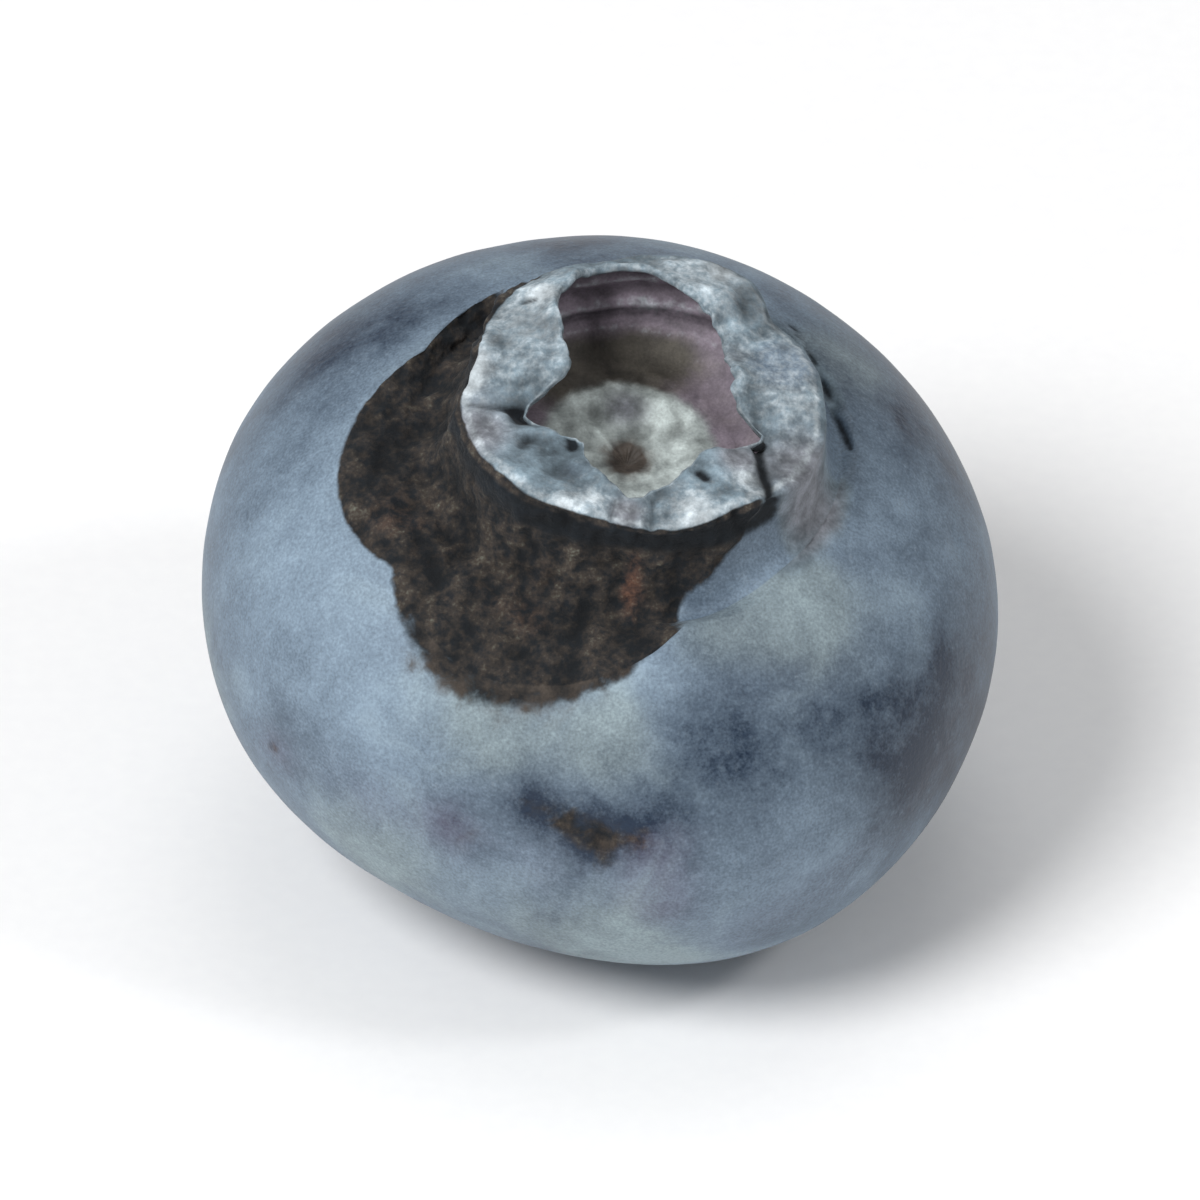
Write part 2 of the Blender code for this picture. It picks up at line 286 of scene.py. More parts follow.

# Where the bloom is thicker or rubbed thin, and a few patches of painted light and shade marked
# below: azimuth, height, spread, amount.
BLOOM_SHARE = 0.60
BLOOM_AND_PAINTED_LIGHT_PATCHES = (
    (207.0, 2.8, 2.3, 0.26),
    (227.0, 2.5, 1.4, 0.26),
    (195.0, 3.9, 1.2, 0.16),
    (247.0, 3.2, 1.1, 0.22),
    # Painted highlight from the lamp on the right, with the patch at 312 degrees.
    (275.0, 4.7, 1.0, 0.26),
    (262.0, 3.8, 1.0, 0.18),
    # Painted highlight from the lamp on the right.
    (312.0, 4.8, 1.0, 0.30),
    (148.0, 3.4, 2.1, -0.46),
    (279.0, 3.0, 1.0, -0.30),
    (290.0, 3.4, 1.2, -0.34),
    (304.0, 3.4, 1.3, -0.26),
    (324.0, 1.9, 2.1, -0.58),
    (20.0, 3.4, 2.2, -0.30),
    (303.0, 1.0, 1.3, 0.24),
    (268.0, 1.9, 0.85, -0.60),
    (258.0, 2.1, 0.65, -0.42),
    (279.0, 1.9, 0.80, -0.42),
    (246.0, 0.9, 0.80, -0.40),
    (220.0, 0.3, 1.0, -0.22),
    (278.0, 0.5, 0.8, -0.26),
    # These two are painted bounce light from the floor.
    (280.0, -1.2, 2.0, 0.26),
    (240.0, -1.0, 1.6, 0.20),
    (340.0, -0.8, 2.4, -0.42),
    # These two are painted shade, on the far right and along the top at the back.
    (40.0, 2.0, 2.8, -0.46),
    (98.0, 4.6, 2.2, -0.40),
    (118.0, 0.0, 1.5, -0.26),
    (60.0, -2.2, 2.0, 0.12),
)
# Where the bloom is greyer and greener: azimuth, height, spread, amount.
HAZE_AND_HIGHLIGHT_PATCHES = (
    # These two paint the grey of the soft highlight from the lamp on the right.
    (312.0, 4.8, 1.3, 0.8),
    (290.0, 4.9, 1.0, 0.4),
    (250.0, 3.3, 1.3, 0.6),
    (268.0, 3.6, 1.0, 0.5),
    (35.0, 4.8, 1.3, 0.5),
    (120.0, 1.0, 2.5, 0.4),
    (190.0, -1.5, 2.0, 0.4),
    (272.0, -1.6, 2.0, 0.6),
    (236.0, -1.2, 1.6, 0.5),
)
# Where the dark skin under the bloom turns plum: azimuth, height, spread, amount.
PLUM_PATCHES = (
    (278.0, 0.5, 0.8, 1.05),
    (246.0, 0.8, 1.1, 0.80),
    (233.0, 0.5, 1.0, 0.60),
    (278.0, 1.6, 0.9, 0.60),
    (262.0, 0.7, 0.9, 0.45),
    (215.0, -0.2, 0.8, 0.60),
    (303.0, 0.4, 1.2, 0.45),
    (290.0, -0.6, 1.4, 0.45),
    (118.0, 0.0, 1.5, 0.50),
)
# Small corky scars in the skin: azimuth, height, spread, amount.
SCARS = (
    (257.5, 2.15, 0.42, 0.50),
    (263.5, 2.10, 0.48, 0.72),
    (269.5, 1.85, 0.48, 0.72),
    (276.0, 1.95, 0.45, 0.52),
    (271.0, 1.20, 0.32, 0.42),
    (214.0, -0.2, 0.38, 0.50),
    (249.0, 0.9, 0.42, 0.44),
    (242.0, 1.0, 0.36, 0.40),
)
# Brown stains on the skin: azimuth, height, spread, amount.
STAIN_PATCHES = (
    (270.6, 1.76, 0.17, 0.80),
    (249.0, 0.9, 0.60, 0.30),
    (234.0, 0.9, 0.50, 0.30),
)
# Rusty tissue on the collar: azimuth, radius, spread, amount.
RUST_SPOTS = (
    (271.5, 3.92, 0.22, 0.95),
    (272.0, 4.30, 0.30, 0.35),
    (205.0, 5.00, 0.70, 0.34),
    (245.0, 4.90, 0.60, 0.36),
)

# Grain of the finishes: size of a grain, detail, roughness, distortion. The wax's own grains are
# a few microns across, so the powder and the dust are as coarse as they need to be to show.
GRAINS = {
    "cloud": (2.8 * MM, 3.0, 0.55, 0.7),
    "mottle": (0.85 * MM, 5.0, 0.62, 0.5),
    "flake": (0.38 * MM, 3.0, 0.55, 0.3),
    "powder": (0.15 * MM, 3.0, 0.55, 0.0),
    "dust": (0.06 * MM, 2.0, 0.5, 0.0),
}
# How far each marked area is frayed by grain: the grain, how far, and how soft the edge is left.
FRAYS = {
    "calyx": ("mottle", 0.50, 0.22),
    "dry": ("mottle", 0.50, 0.45),
    "pale": ("powder", 0.90, 0.40),
    "wine": ("mottle", 0.55, 0.30),
    "disc": ("mottle", 0.90, 0.40),
    "cork": ("flake", 0.70, 0.22),
    "stain": ("flake", 1.00, 0.35),
    "dark": ("powder", 0.40, 0.38),
    "tint": ("mottle", 0.90, 0.45),
}
# How much each grain clouds the bloom's cover.
COVER_GRAINS = {"cloud": 1.15, "mottle": 0.66, "powder": 0.32, "dust": 0.26}
# The colours of each tissue: the mark that turns it, its own colour, the one that it turns to.
TISSUES = {
    "bare": ("tint", "skin", "plum"),
    "lobe": ("dry", "lobe", "dry_lobe"),
    "bowl": ("tint", "wine", "olive"),
    "disc": ("dry", "disc", "dry_lobe"),
    "flake": ("tint", "flake", "rust"),
}
BARE_ROUGHNESS = 0.38
BLOOM_ROUGHNESS = 0.66
ROUGHNESS = {"calyx": 0.78, "wine": 0.6, "disc": 0.58, "cork": 0.9, "dark": 1.0}
# Worked out at every point of the fruit: the relief, how far each finish goes, and where
# highlights (pale) and shade (dark, and crest by relief) are painted.
MARKS = ("relief", "crest", "bloom", "haze", *FRAYS)

# Studio: azimuth and elevation of each soft lamp from the fruit, distance, width, watts.
LAMPS = {
    "key": (-50.0, 49.0, 0.34, 0.17, 0.98),
    "round": (76.0, 43.0, 0.34, 0.06, 0.20),
    "top": (170.0, 70.0, 0.36, 0.22, 0.20),
}
WORLD_STRENGTH = 0.33
CAMERA_ELEVATION = 38.0
CAMERA_DISTANCE = 0.45
FRAME_WIDTH = 25.0 * MM
SENSOR_WIDTH = 36.0
AIM_HEIGHT = 5.9 * MM
FLOOR_SIZE = 3.0


def linear(colour_hex):
    """An sRGB hex colour as linear red, green and blue."""
    shares = [int(colour_hex[i : i + 2], 16) / 255.0 for i in (1, 3, 5)]
    return tuple(s / 12.92 if s <= 0.04045 else ((s + 0.055) / 1.055) ** 2.4 for s in shares)


def length_property(name, description, millimetres):
    return FloatProperty(
        name=name,
        description=description,
        default=millimetres * MM,
        min=0.0,
        precision=5,
        unit="LENGTH",
    )


def angle_property(name, description, degrees):
    return FloatProperty(
        name=name, description=description, default=math.radians(degrees), unit="ROTATION"
    )


def colour_property(name, description, colour_hex):
    return FloatVectorProperty(
        name=name,
        description=description,
        default=linear(colour_hex),
        min=0.0,
        max=1.0,
        subtype="COLOR",
    )


class BlueberrySizes(bpy.types.PropertyGroup):
    body_radius: length_property("Body radius", "Half the width of the body at its waist", 8.33)
    half_height: length_property("Half height", "Half the height of the body on its axis", 5.95)
    lip_height: length_property("Lip height", "Height of the crown's lip over the middle", 6.92)
    fold_radius: length_property("Fold radius", "Radius of the fold where a lobe turns in", 0.36)
    wall_thickness: length_property("Wall thickness", "Thickness of the lobes and wall", 0.24)
    lean_front: angle_property("Lean to the front", "How far the axis leans to the front", 12.3)
    lean_right: angle_property("Lean to the right", "How far the axis leans to the right", 6.2)
    sides: IntProperty(
        name="Sides", description="How many faces go round the fruit", default=320, min=24, max=360
    )


class BlueberryColours(bpy.types.PropertyGroup):
    skin: colour_property("Skin", "The bare skin, where the bloom is rubbed off", "#1a2a3e")
    plum: colour_property("Plum", "Skin that is less deeply coloured", "#473f56")
    bloom: colour_property("Bloom", "The waxy bloom where it lies thick", "#8497a8")
    haze: colour_property("Haze", "The bloom's greener, greyer patches", "#90a0a6")
    lobe: colour_property("Lobe", "The crown's lobes", "#687882")
    dry_lobe: colour_property("Dry lobe", "The parts of the lobes that have dried", "#777a81")
    # Edge is the colour of the painted highlights on the lobes and the bowl's wrinkles.
    edge: colour_property("Edge", "The bleached, worn parts of the lobes", "#bcc5ca")
    wine: colour_property("Bowl wall", "The wine-brown inside of the crown's wall", "#827883")
    olive: colour_property("Bowl floor", "The olive-brown rim of the bowl's floor", "#4f4b44")
    disc: colour_property("Disc", "The grey-green nectar disc", "#a5aeac")
    # Cork is also the colour of the painted shade.
    cork: colour_property("Cork", "The dried dark tissue of the collar", "#12171c")
    flake: colour_property("Flake", "Lighter flakes on the dried collar", "#3b342e")
    rust: colour_property("Rust", "Rusty tissue on the dried collar", "#5b4033")
    ash: colour_property("Ash", "Grey-olive crests of the dried collar", "#55574f")
    stain: colour_property("Stain", "Brown scars and stains", "#463f39")


def smooth_step(share):
    """0 to 1, with no slope at either end."""
    share = min(1.0, max(0.0, share))
    return share * share * (3.0 - 2.0 * share)


def turn_from(middle, azimuth):
    """Degrees from middle to azimuth, the short way round."""
    return (azimuth - middle + 180.0) % 360.0 - 180.0


def window(azimuth, first, last, ease):
    """1 between two azimuths, easing to 0 outside them."""
    middle = (first + last) / 2.0
    return smooth_step(((last - first) / 2.0 + ease - abs(turn_from(middle, azimuth))) / ease)


def bell(distance, width):
    return math.exp(-((distance / width) ** 2))


def around(azimuth, count):
    """A point on a circle that noise crosses about count times on its way round."""
    turn = math.radians(azimuth)
    radius = count / math.tau
    return Vector((radius * math.cos(turn), radius * math.sin(turn), 0.0))


def streak(azimuth, count, along):
    """Noise crossed count times on its way round, and changing along the surface."""
    return noise.noise(around(azimuth, count) + Vector((0.0, 0.0, along)))


def flat_point(azimuth, radius):
    turn = math.radians(azimuth)
    return Vector((radius * math.cos(turn), radius * math.sin(turn)))


def off_line(place, first, last):
    """Distance seen along the axis from a point to the line between two others."""
    along = last - first
    share = (place.xy - first).dot(along) / along.length_squared
    return (place.xy - first - along * min(1.0, max(0.0, share))).length


@lru_cache(maxsize=None)
def rim_at(azimuth):
    """Outside radius of the wall, its length past the fold, lift of its lip, lean in radians."""
    # Each lobe is bordered by its own notch and the one before it.
    for lobe, before, after in zip(LOBES, NOTCHES[-1:] + NOTCHES[:-1], NOTCHES):
        turn = turn_from(lobe[0], azimuth)
        notch = after if turn >= 0.0 else before
        off = turn / turn_from(lobe[0], notch[0])
        if off <= 1.0:
            break
    radius, lift, lean = (lobe[i] + (notch[i] - lobe[i]) * smooth_step(off) for i in (1, 3, 4))
    length = notch[2] + (lobe[2] - notch[2]) * (1.0 - off ** lobe[5])
    length += sum(depth * noise.noise(around(azimuth, count)) for count, depth in RAGGED)
    return radius - NOTCH_CREASE * off**CREASE_SHARPNESS, length, lift, math.radians(lean)


@lru_cache(maxsize=None)
def collar_edge(azimuth):
    """Radius where the skin drops off into the collar."""
    reach = 0.0
    for middle, spread, length in TONGUES:
        off = abs(turn_from(middle, azimuth)) / spread
        reach = max(reach, length * (1.0 - off**TONGUE_BLUNTNESS))
    return COLLAR_RADIUS + reach


@lru_cache(maxsize=None)
def groove_depth(azimuth):
    return sum(
        depth * smooth_step((spread - abs(turn_from(middle, azimuth))) / GROOVE_EASE)
        for middle, spread, depth in GROOVES
    )


def crumple(azimuth, past_fold):
    """How far the crumpled lobes rise (mostly how far they sink) at a length past the fold."""
    rise = 0.0
    for count, size, height in CRUMPLES:
        rise += height * (streak(azimuth, count, past_fold / size) - CRUMPLE_SINK)
    return rise * smooth_step(past_fold / CRUMPLE_EASE)


class FruitForm:
    """The fruit's plain form, its axis upright and the body's middle at the origin."""

    def __init__(self, sizes):
        self.body_radius = sizes.body_radius
        self.half_height = sizes.half_height
        self.lip_height = sizes.lip_height
        self.fold_radius = sizes.fold_radius
        self.wall_thickness = sizes.wall_thickness

    def skin_height(self, radius):
        """Height of the upper skin at a radius from the axis."""
        share = min(1.0, radius / self.body_radius)
        return self.half_height * (1.0 - share**BODY_FULLNESS) ** (1.0 / BODY_FULLNESS)

    def skin_radius(self, height):
        """Radius of the skin at a height over or under the middle."""
        share = min(1.0, abs(height) / self.half_height)
        return self.body_radius * (1.0 - share**BODY_FULLNESS) ** (1.0 / BODY_FULLNESS)

    def scar_point(self, share):
        """Radius and height in the stem scar, out to where the skin starts (1)."""
        radii = share * SCAR_REACH
        radius = SCAR_RADIUS * radii
        pit = SCAR_DEPTH * (1.0 - smooth_step((radii - SCAR_BOTTOM) / SCAR_WALL))
        lip = SCAR_LIP * bell(radii - 1.0, SCAR_LIP_WIDTH)
        return radius, -self.skin_height(radius) + pit - lip

    def skin_point(self, share, azimuth):
        """Radius and height on the skin, from the stem scar (0) round to the collar (1)."""
        power = BODY_FULLNESS / 2.0
        first = math.asin((SCAR_RADIUS * SCAR_REACH / self.body_radius) ** power)
        last = math.pi - math.asin((collar_edge(azimuth) / self.body_radius) ** power)
        angle = first + (last - first) * share
        radius = self.body_radius * math.sin(angle) ** (1.0 / power)
        rise = self.half_height * abs(math.cos(angle)) ** (1.0 / power)
        return radius, math.copysign(rise, -math.cos(angle))

    def collar_point(self, share, azimuth):
        """Radius and height in the collar, from its edge (0) down to the crown's foot (1)."""
        edge = collar_edge(azimuth)
        radius = edge + (CROWN_FOOT_RADIUS - edge) * share
        return radius, self.skin_height(radius) - groove_depth(azimuth) * share**COLLAR_SWEEP

    def past_fold(self, share, azimuth):
        """Length along the wall beyond the start of its fold, and the lean there."""
        length, full_lean = rim_at(azimuth)[1], rim_at(azimuth)[3]
        past_fold = length * max(0.0, share - STRAIGHT_SHARE) / (1.0 - STRAIGHT_SHARE)
        return past_fold, min(full_lean, past_fold / self.fold_radius)

    def wall_point(self, share, depth, azimuth):
        """Radius and height in the crown's wall, from foot (0) to rim (1).

        depth is 0 on the outer face and 1 on the inner one. Below the fold both flare out: the
        outer face into the collar, the inner one into the bowl.
        """
        radius, _, lift, _ = rim_at(azimuth)
        past_fold, lean = self.past_fold(share, azimuth)
        beyond = past_fold - lean * self.fold_radius
        radius -= self.fold_radius * (1.0 - math.cos(lean)) + beyond * math.sin(lean)
        height = self.lip_height + lift
        height += beyond * math.cos(lean) - self.fold_radius * (1.0 - math.sin(lean))
        height += crumple(azimuth, past_fold)
        thinned = (1.0 - THIN_EDGE) * smooth_step(share * 2.0 - 1.0)
        thickness = self.wall_thickness * (1.0 - thinned)
        radius -= depth * thickness * math.cos(lean)
        height -= depth * thickness * math.sin(lean)
        if share >= STRAIGHT_SHARE:
            return radius, height
        swing = share / STRAIGHT_SHARE * math.pi / 2.0
        foot_radius, foot = DISC_RADIUS, BOWL_FOOT
        if depth == 0.0:
            foot_radius = CROWN_FOOT_RADIUS
            foot = self.skin_height(CROWN_FOOT_RADIUS) - groove_depth(azimuth)
        return (
            foot_radius + (radius - foot_radius) * math.sin(swing),
            height - (height - foot) * math.cos(swing),
        )

    def tip_point(self, share, azimuth):
        """Radius and height round the blunt rim, from the outer face (0) to the inner one (1)."""
        angle = math.pi * share
        outer = Vector(self.wall_point(1.0, 0.0, azimuth))
        inner = Vector(self.wall_point(1.0, 1.0, azimuth))
        half = (outer - inner) / 2.0
        ahead = Vector((-half.y, half.x))
        return tuple((outer + inner) / 2.0 + half * math.cos(angle) + ahead * math.sin(angle))

    def disc_point(self, share):
        """Radius and height on the bowl's floor, from the disc's edge (1) to the middle (0)."""
        radius = DISC_RADIUS * share
        height = DISC_MIDDLE + (BOWL_FOOT - DISC_MIDDLE) * share**DISC_FLATNESS
        height += DISC_RING_RISE * bell(radius - DISC_RING, DISC_RING_WIDTH)
        height -= STYLE_PIT_DEPTH * bell(radius, STYLE_PIT_RADIUS)
        return radius, height

    def point(self, zone, share, azimuth):
        if zone == "scar":
            radius, height = self.scar_point(share)
        elif zone == "skin":
            radius, height = self.skin_point(share, azimuth)
        elif zone == "collar":
            radius, height = self.collar_point(share, azimuth)
        elif zone == "tip":
            radius, height = self.tip_point(share, azimuth)
        elif zone == "disc":
            radius, height = self.disc_point(share)
        else:
            radius, height = self.wall_point(share, 0.0 if zone == "outer" else 1.0, azimuth)
        swelling = sum(
            share_of_radius * math.cos(math.radians(count * (azimuth - crest)))
            for count, share_of_radius, crest in SWELLINGS
        )
        radius *= 1.0 + swelling * (radius / self.body_radius) ** 2
        stem_end = (min(0.0, height) / self.half_height) ** 2
        place = flat_point(azimuth, radius) + Vector(STEM_SHIFT) * stem_end
        return Vector((place.x, place.y, height))

    def patches(self, place, table):
        """Sum of the soft round patches of a table at a place."""
        total = 0.0
        for azimuth, height, spread, amount in table:
            middle = flat_point(azimuth, self.skin_radius(height * MM)).to_3d()
            middle.z = height * MM
            total += amount * bell((place - middle).length, spread * MM)
        return total


def grain(place, table):
    """Sum of noises of several sizes at a place, each with its own height."""
    return sum(height * noise.noise(place / size) for size, height in table)


def beside_collar(azimuth, place, reach):
    """1 at the collar's edge, easing to 0 at a distance outside it."""
    return smooth_step(1.0 - (place.xy.length - collar_edge(azimuth)) / reach)


def cork_share(form, zone, share, azimuth, place):
    """How corky the tissue is: the sunken collar and the crown's wall up to its fold."""
    if zone == "outer":
        lean = form.past_fold(share, azimuth)[1]
        first, low, last, high = CORK_CLIMB
        limit = low + (high - low) * max(0.0, azimuth - first) / (last - first)
        limit += CORK_CLIMB_WAVER * noise.noise(around(azimuth, CORK_CLIMB_WAVES))
        cork = window(azimuth, *CORK_ON_WALL)
        cork *= smooth_step(0.5 + (CORK_LEAN - lean) / CORK_LEAN_EASE)
        return cork * smooth_step(0.5 + (place.z - limit) / CORK_CLIMB_EASE)
    if zone == "collar":
        # Three quarters corky at the collar's edge, and wholly so a little inside it.
        return window(azimuth, *CORK_ON_COLLAR) * smooth_step(0.75 + share * 4.0)
    if zone == "skin":
        fringe = CORK_FRINGE + CORK_FRONT_FRINGE * window(azimuth, *CORK_FRONT)
        rim = CORK_RIM * window(azimuth, *CORK_ON_RIM) * beside_collar(azimuth, place, fringe)
        return min(1.0, rim * (place.z > 0.0) + form.patches(place, SCARS))
    return 0.0


def spots(place, table):
    """Sum of the soft round spots of a table, seen along the axis."""
    return sum(
        amount * bell((place.xy - flat_point(azimuth, radius * MM)).length, spread * MM)
        for azimuth, radius, spread, amount in table
    )


def olive_share(azimuth):
    """The bowl's floor is olive at the back and wine-brown elsewhere."""
    return OLIVE_LEAST + (1.0 - OLIVE_LEAST) * window(azimuth, *OLIVE_SPAN)


def mark_skin(marks, form, zone, share, azimuth, place, cork):
    """Marks of the stem scar, the skin and the collar."""
    marks["relief"] += (1.0 - cork) * (grain(place, SKIN_RELIEF) - SKIN_SINK)
    marks["bloom"] = BLOOM_SHARE + form.patches(place, BLOOM_AND_PAINTED_LIGHT_PATCHES)
    marks["haze"] = form.patches(place, HAZE_AND_HIGHLIGHT_PATCHES)
    marks["tint"] = form.patches(place, PLUM_PATCHES)
    marks["stain"] = form.patches(place, STAIN_PATCHES)
    if zone == "skin" and place.z > 0.0:
        scurf = window(azimuth, *SCURF_SPAN) * beside_collar(azimuth, place, SCURF_REACH)
        scurf *= 0.75 + noise.noise(place / SCURF_SIZE)
        marks["stain"] += SCURF_SHARE * scurf
        marks["relief"] += SCURF_HEIGHT * scurf * noise.noise(place / SCURF_GRAIN)
    for dent, height, radius, depth in DENTS:
        marks["relief"] -= depth * MM * form.patches(place, ((dent, height, radius, 1.0),))
    if place.z > 0.0:
        # Round the crown's foot the skin is dry where no cork has formed.
        near_crown = smooth_step((DRY_RADIUS - place.xy.length) / DRY_EASE)
        dry = sum(window(azimuth, *span) for span in DRY_SPANS)
        marks["calyx"] = dry * near_crown
        marks["dry"] = near_crown * (spots(place, DRIED) + 0.3 * dry)
        pits = grain(place, LOBE_PITS)
        # The pits' crest mark paints them lit on their crests and shaded in their hollows.
        marks["crest"] = marks["calyx"] * pits / CREST_LIGHT_AND_SHADE_AT["skin"]
        marks["relief"] += marks["calyx"] * pits
    if zone == "scar":
        count, height = SCAR_RIDGES
        marks["stain"] = smooth_step((1.0 - share) * 3.0)
        marks["relief"] += height * noise.noise(around(azimuth, count) + place / MM)


def mark_bowl_wall(marks, share, azimuth, place, folded):
    """Marks of the wall's inner face: wrinkles round it with painted light and shade, over a dark
    olive foot topped by a line of painted shade.
    """
    apart, height, waver = BOWL_WRINKLES
    wave = math.sin(math.tau * (place.z / apart + waver * streak(azimuth, 6.0, place.z / MM)))
    fine = streak(azimuth, 46.0, place.z / (0.2 * MM))
    upright = (1.0 - folded) * smooth_step((share - 0.10) / 0.06)
    marks["relief"] += upright * height * (wave + 0.5 * fine)
    # The wrinkles' crests are painted lit and their troughs shaded, through the crest and pale
    # marks.
    marks["crest"] = upright * (0.7 * wave + 0.6 * fine)
    marks["pale"] = WRINKLE_PAINTED_HIGHLIGHT * upright * smooth_step(wave + 0.8 * fine)
    marks["wine"] = 1.0
    marks["tint"] = 1.1 * smooth_step((0.17 - share) / 0.10) * olive_share(azimuth)
    # A thin line of painted shade in the corner above the bowl's floor.
    marks["dark"] = 0.6 * bell(share - 0.175, 0.014)


def mark_wall(marks, form, zone, share, azimuth, place):
    """Marks of the crown's wall and its lobes."""
    past_fold, lean = form.past_fold(share, azimuth)
    folded = smooth_step(lean / FOLDED_LEAN)
    if zone == "inner":
        mark_bowl_wall(marks, share, azimuth, place, folded)
        return
    ribs = [streak(azimuth, count, share * RIB_SLANT) for count, _ in LOBE_RIBS]
    waves = [streak(azimuth, count, past_fold / size) for count, size, _ in CRUMPLES]
    bloomed = spots(place, BLOOMED)
    pits = grain(place, LOBE_PITS) * (1.0 - 0.5 * bloomed)
    marks["relief"] += folded * sum(rib * height for rib, (_, height) in zip(ribs, LOBE_RIBS))
    marks["relief"] += folded * pits
    # Crumples, ribs and pits form the crest mark, which paints their crests lighter and their
    # hollows shaded.
    worn = 0.8 * waves[0] + 0.8 * waves[1] + 0.6 * ribs[1] + pits / CREST_LIGHT_AND_SHADE_AT["lobe"]
    marks["crest"] = folded * worn
    marks["calyx"] = 1.0 if zone == "tip" else smooth_step((share - 0.10) / 0.14)
    marks["calyx"] *= 1.0 - 0.8 * bloomed
    marks["bloom"] = BLOOM_SHARE + form.patches(place, BLOOM_AND_PAINTED_LIGHT_PATCHES)
    marks["dry"] = spots(place, DRIED)
    # Painted highlights: the listed spots and the blunt rim.
    marks["pale"] = spots(place, PAINTED_LOBE_HIGHLIGHTS) + TIP_PAINTED_HIGHLIGHT * (zone == "tip")
    # Painted shade on the folded lobes.
    marks["dark"] = folded * spots(place, PAINTED_LOBE_SHADE)
    if zone == "outer":
        # Painted highlight on the crest of the fold.
        marks["pale"] += FOLD_PAINTED_HIGHLIGHT * bell(lean - FOLD_CREST, FOLD_CREST_WIDTH)
        # On the front right the bloomed skin runs up to the fold.
        marks["calyx"] *= 1.0 - window(azimuth, *BLOOMED_WALL) * (1.0 - folded)
        marks["calyx"] = max(marks["calyx"], window(azimuth, *DRY_WALL))
        # A band of painted shadow on the wall under the fold.
        shadow_band = SHADOW_BAND_SHARE * window(azimuth, *SHADOW_BAND_SPAN) * smooth_step(1.25 - folded * 1.25)
        marks["dark"] += shadow_band * smooth_step((place.z - SHADOW_BAND_HEIGHT) / SHADOW_BAND_EASE)
    # Creases are sunk and painted with shade by their depth.
    for first, from_radius, last, to_radius, width, depth in CREASES:
        off = off_line(place, flat_point(first, from_radius), flat_point(last, to_radius))
        marks["relief"] -= depth * bell(off, width) * folded
        marks["dark"] += min(0.9, depth / CREASE_FULL_SHADE_DEPTH) * bell(off, width) * folded


def mark_disc(marks, azimuth, place):
    """Marks of the nectar disc, rayed round the brown scar of the style."""
    radius = place.xy.length
    count, height = DISC_RAYS
    marks["wine"] = 1.0
    marks["tint"] = olive_share(azimuth)
    marks["dry"] = spots(place, DRIED)
    marks["disc"] = 1.3 * smooth_step((DISC_RADIUS - radius) / DISC_EDGE)
    rays = streak(azimuth, count, radius / MM)
    marks["relief"] = grain(place, DISC_RELIEF) + height * rays
    # The disc's relief paints its crests lit and its hollows shaded, through the crest mark.
    marks["crest"] = marks["relief"] / CREST_LIGHT_AND_SHADE_AT["disc"]
    marks["stain"] = 1.2 * bell(radius, STYLE_STAIN_RADIUS)


def mark_foot_groove(marks, place):
    """The narrow groove at the right lobe's foot, in broken stretches: a shallow dent darkened
    with painted shade.
    """
    for (first, from_radius), (last, to_radius) in zip(FOOT_GROOVE, FOOT_GROOVE[1:]):
        off = off_line(place, flat_point(first, from_radius), flat_point(last, to_radius))
        near = bell(off, FOOT_GROOVE_WIDTH)
        near *= smooth_step(1.05 + 1.5 * noise.noise(place / FOOT_GROOVE_BREAKS))
        marks["dark"] = max(marks["dark"], FOOT_GROOVE_SHADE * near)
        marks["relief"] -= FOOT_GROOVE_DEPTH * near


def marks_at(form, zone, share, azimuth, place):
    """Relief in metres, and how much of each finish shows, at one point of the fruit."""
    marks = dict.fromkeys(MARKS, 0.0)
    cork = cork_share(form, zone, share, azimuth, place)
    if zone in ("scar", "skin", "collar"):
        mark_skin(marks, form, zone, share, azimuth, place, cork)
    elif zone == "disc":
        mark_disc(marks, azimuth, place)
    else:
        mark_wall(marks, form, zone, share, azimuth, place)
    marks["cork"] = cork
    if cork > 0.0:
        count, length, height = CORK_STREAKS
        flakes = grain(place, CORK_RELIEF)
        flakes += height * streak(azimuth, count, place.xy.length / length)
        rust = cork * spots(place, RUST_SPOTS)
        marks["relief"] += cork * (flakes - CORK_SINK)
        # The crest mark paints the flakes' crests lit and their hollows shaded, and browns the
        # crests of the cork and its rust.
        marks["crest"] += cork * flakes / CREST_LIGHT_AND_SHADE_AT["cork"] + rust
        marks["tint"] += rust
    at_foot = zone in ("collar", "skin") or (zone == "outer" and share < FOOT_SHARE)
    if at_foot and place.z > 0.0:
        mark_foot_groove(marks, place)
    return marks


def station_list():
    """Every ring of the profile from the bottom pole to the bowl's middle."""
    wall = [STRAIGHT_SHARE * i / STRAIGHT_STATIONS for i in range(STRAIGHT_STATIONS)]
    fold = [1.0 - i / FOLD_STATIONS for i in range(FOLD_STATIONS, -1, -1)]
    wall += [STRAIGHT_SHARE + (1.0 - STRAIGHT_SHARE) * share for share in fold]
    stations = [("scar", i / SCAR_STATIONS) for i in range(SCAR_STATIONS + 1)]
    stations += [("skin", i / SKIN_STATIONS) for i in range(1, SKIN_STATIONS + 1)]
    stations += [("collar", i / COLLAR_STATIONS) for i in range(1, COLLAR_STATIONS)]
    stations += [("outer", share) for share in wall]
    stations += [("tip", i / (TIP_STATIONS + 1)) for i in range(1, TIP_STATIONS + 1)]
    stations += [("inner", share) for share in reversed(wall[1:])]
    stations += [("disc", 1.0 - i / DISC_RINGS) for i in range(DISC_RINGS + 1)]
    return stations


